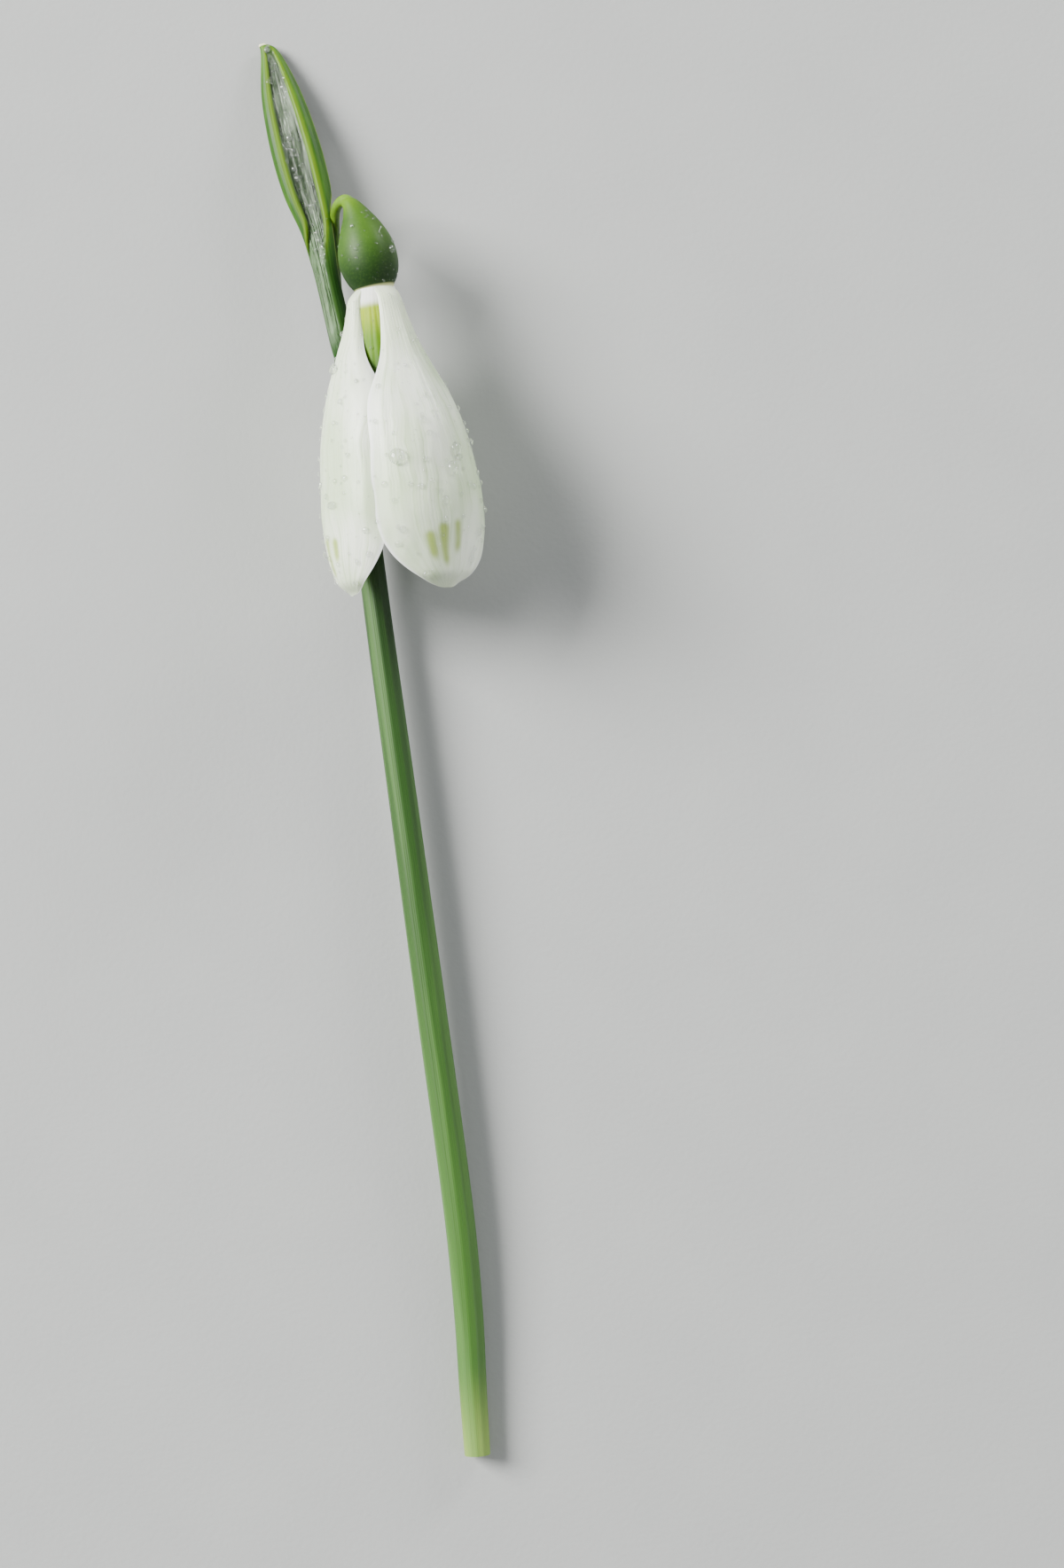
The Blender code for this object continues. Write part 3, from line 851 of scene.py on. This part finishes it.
def specks(count, seed, down_from, down_to, front, widths):
    """Fine dew all round the flower's axis, thickest at a bearing from the front, in degrees."""
    random.seed(seed)
    drops = []
    for _ in range(count):
        bearing = math.radians(random.gauss(front, 75))
        outward = Vector((math.sin(bearing), 0, math.cos(bearing)))
        middle = RECEPTACLE + Vector((0, -random.uniform(down_from, down_to), 0)) * MM
        width = widths[0] + (widths[1] - widths[0]) * random.random() ** 3
        bead = large_bead if width > LEAST_LARGE else small_bead
        drops.append((middle + outward * CAST_FROM, -outward, width * MM,
                      width * random.uniform(0.9, 1.25) * MM, bead))
    return drops


RIGHT_DROPS = [above(0.19, 16.3, 1.5), above(5.41, 16.1, 1.2), above(4.93, 17.8, 1.2, 1.05),
               above(3.89, 20.7, 0.83), above(1.3, 27.0, 0.8, 0.55), above(2.9, 13.2, 0.6),
               above(1.9, 19.2, 0.55), above(-0.6, 20.2, 0.5), above(3.4, 10.9, 0.5)]
RIGHT_DROPS += [beside(1, 0.5 + 0.3 * i, down, width) for i, (down, width) in enumerate(
    [(4.3, 0.5), (6.2, 0.6), (7.7, 0.75), (9.7, 0.6), (12.1, 0.55), (13.6, 0.5), (15.4, 0.8),
     (18.3, 0.5), (20.9, 0.45), (23.7, 0.75), (25.2, 0.5), (26.1, 0.7)])]
LEFT_DROPS = [above(-6.34, 19.6, 0.7, 1.5), above(-4.3, 15.4, 0.5), above(-5.2, 12.2, 0.45),
              above(-3.6, 22.4, 0.6), above(-4.7, 25.1, 0.5)]
LEFT_DROPS += [beside(-1, 1.6 - 0.15 * i, down, width) for i, (down, width) in enumerate(
    [(7.1, 1.0), (9.4, 0.5), (12.2, 0.45), (15.0, 0.5), (17.6, 0.45), (20.2, 0.5),
     (22.5, 0.65), (23.7, 0.85), (25.2, 0.55), (26.3, 0.5)])]
OVARY_DROPS = [above(-1.26, -5.7, 0.42), above(-1.16, -3.5, 0.34), above(-1.18, -2.7, 0.26),
               above(-1.23, -1.7, 0.24), above(1.99, -3.15, 0.75, 0.6), above(2.2, -4.0, 0.4),
               above(1.3, -5.3, 0.34), above(0.8, -6.2, 0.3), above(0.2, -7.0, 0.3)]

SPATHE_DROP_COUNT = 84
SPATHE_DROPS_FROM, SPATHE_DROPS_OVER = 0.3, 0.63  # of the spathe's length
random.seed(5)
SPATHE_DROPS = []
for i in range(SPATHE_DROP_COUNT):
    along = SPATHE_DROPS_FROM + SPATHE_DROPS_OVER * (i + random.random()) / SPATHE_DROP_COUNT
    middle = SPATHE_CORNER + between([Vector(point) * MM for point in SPATHE_ROUTE], along)
    offset = random.gauss(-0.06, 0.26) * between(SPATHE_HALF_WIDTH, along) * MM
    width = (0.18 + 0.44 * random.random() ** 2) * MM
    SPATHE_DROPS.append((middle + Vector((offset, 0, CAST_FROM)), Vector((0, 0, -1)), width,
                         width * random.uniform(0.9, 1.5), large_bead))

dew("dew_on_right_petal", outer_petals["right"],
    RIGHT_DROPS + specks(420, 1, 1, 27.6, 35, (0.12, 0.6)))
dew("dew_on_left_petal", outer_petals["left"],
    LEFT_DROPS + specks(420, 2, 1, 27.3, -60, (0.12, 0.55)))
dew("dew_on_back_petal", outer_petals["back"], specks(160, 3, 1, 26, 150, (0.12, 0.5)))
dew("dew_on_ovary", ovary, OVARY_DROPS + specks(70, 4, -7.2, -0.2, 0, (0.08, 0.3)))
dew("dew_on_spathe", spathe, SPATHE_DROPS)
dew("dew_on_inner_petal", inner_petals["front"], [above(-0.97, 5.7, 0.36), above(-0.5, 3.2, 0.2)])
bpy.data.objects.remove(large_bead)
bpy.data.objects.remove(small_bead)
